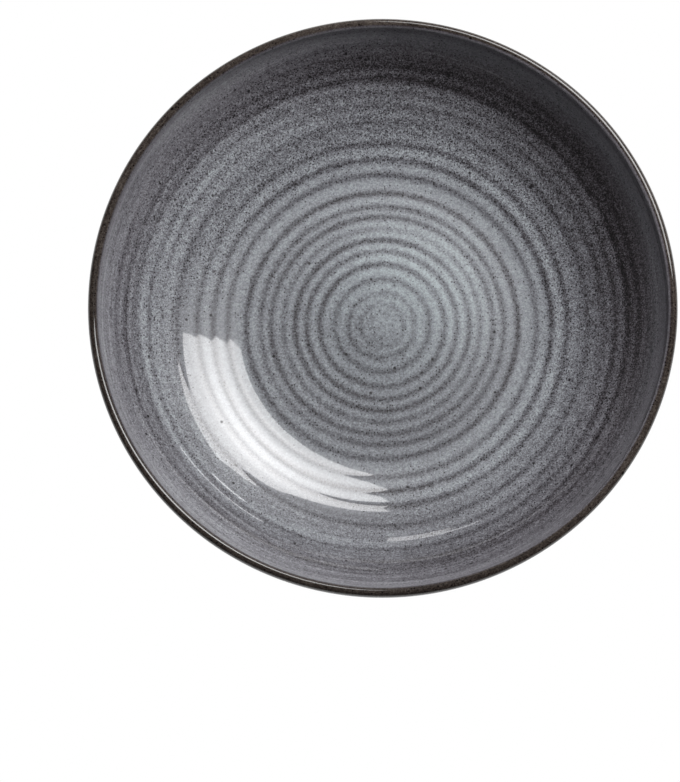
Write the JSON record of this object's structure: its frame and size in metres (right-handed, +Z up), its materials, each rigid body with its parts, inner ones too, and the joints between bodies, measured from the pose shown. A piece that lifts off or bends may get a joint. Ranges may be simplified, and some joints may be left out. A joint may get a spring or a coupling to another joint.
{
  "type": "deep plate",
  "caption": "Round deep stoneware plate with a turned foot ring, full belly, rounded lip and concentric throwing ridges, under blue-grey reactive glaze with a brown rim band.",
  "frame": {"origin": "centre of the foot ring's bottom face, on the table", "axes": "+Z up along the axis of turning; +X to the right and +Y away from the camera in the picture's view from above"},
  "size_m": [0.235, 0.235, 0.0537],
  "materials": {
    "bare_clay": "dark brown stoneware clay, turned and wiped, dry and matt",
    "inner_glaze": "glossy reactive glaze, blue-grey in the finger channels, thin and dark on the ridges, with fine dark speckles",
    "outer_glaze": "glossy reactive glaze, dark blue-grey with faint level streaks and dark speckles",
    "rim_glaze": "glossy, thin, brown-black where the glaze breaks over the lip",
    "foot_glaze": "satin, thin, dark olive brown over the foot",
    "underside_glaze": "glossy dark grey reactive glaze with fine speckles"
  },
  "bodies": {
    "root": {"clay_body": "bare_clay", "inner_glaze": "inner_glaze", "outer_glaze": "outer_glaze", "rim_band": "rim_glaze", "foot_glaze": "foot_glaze", "underside_glaze": "underside_glaze"}
  },
  "joints": []
}
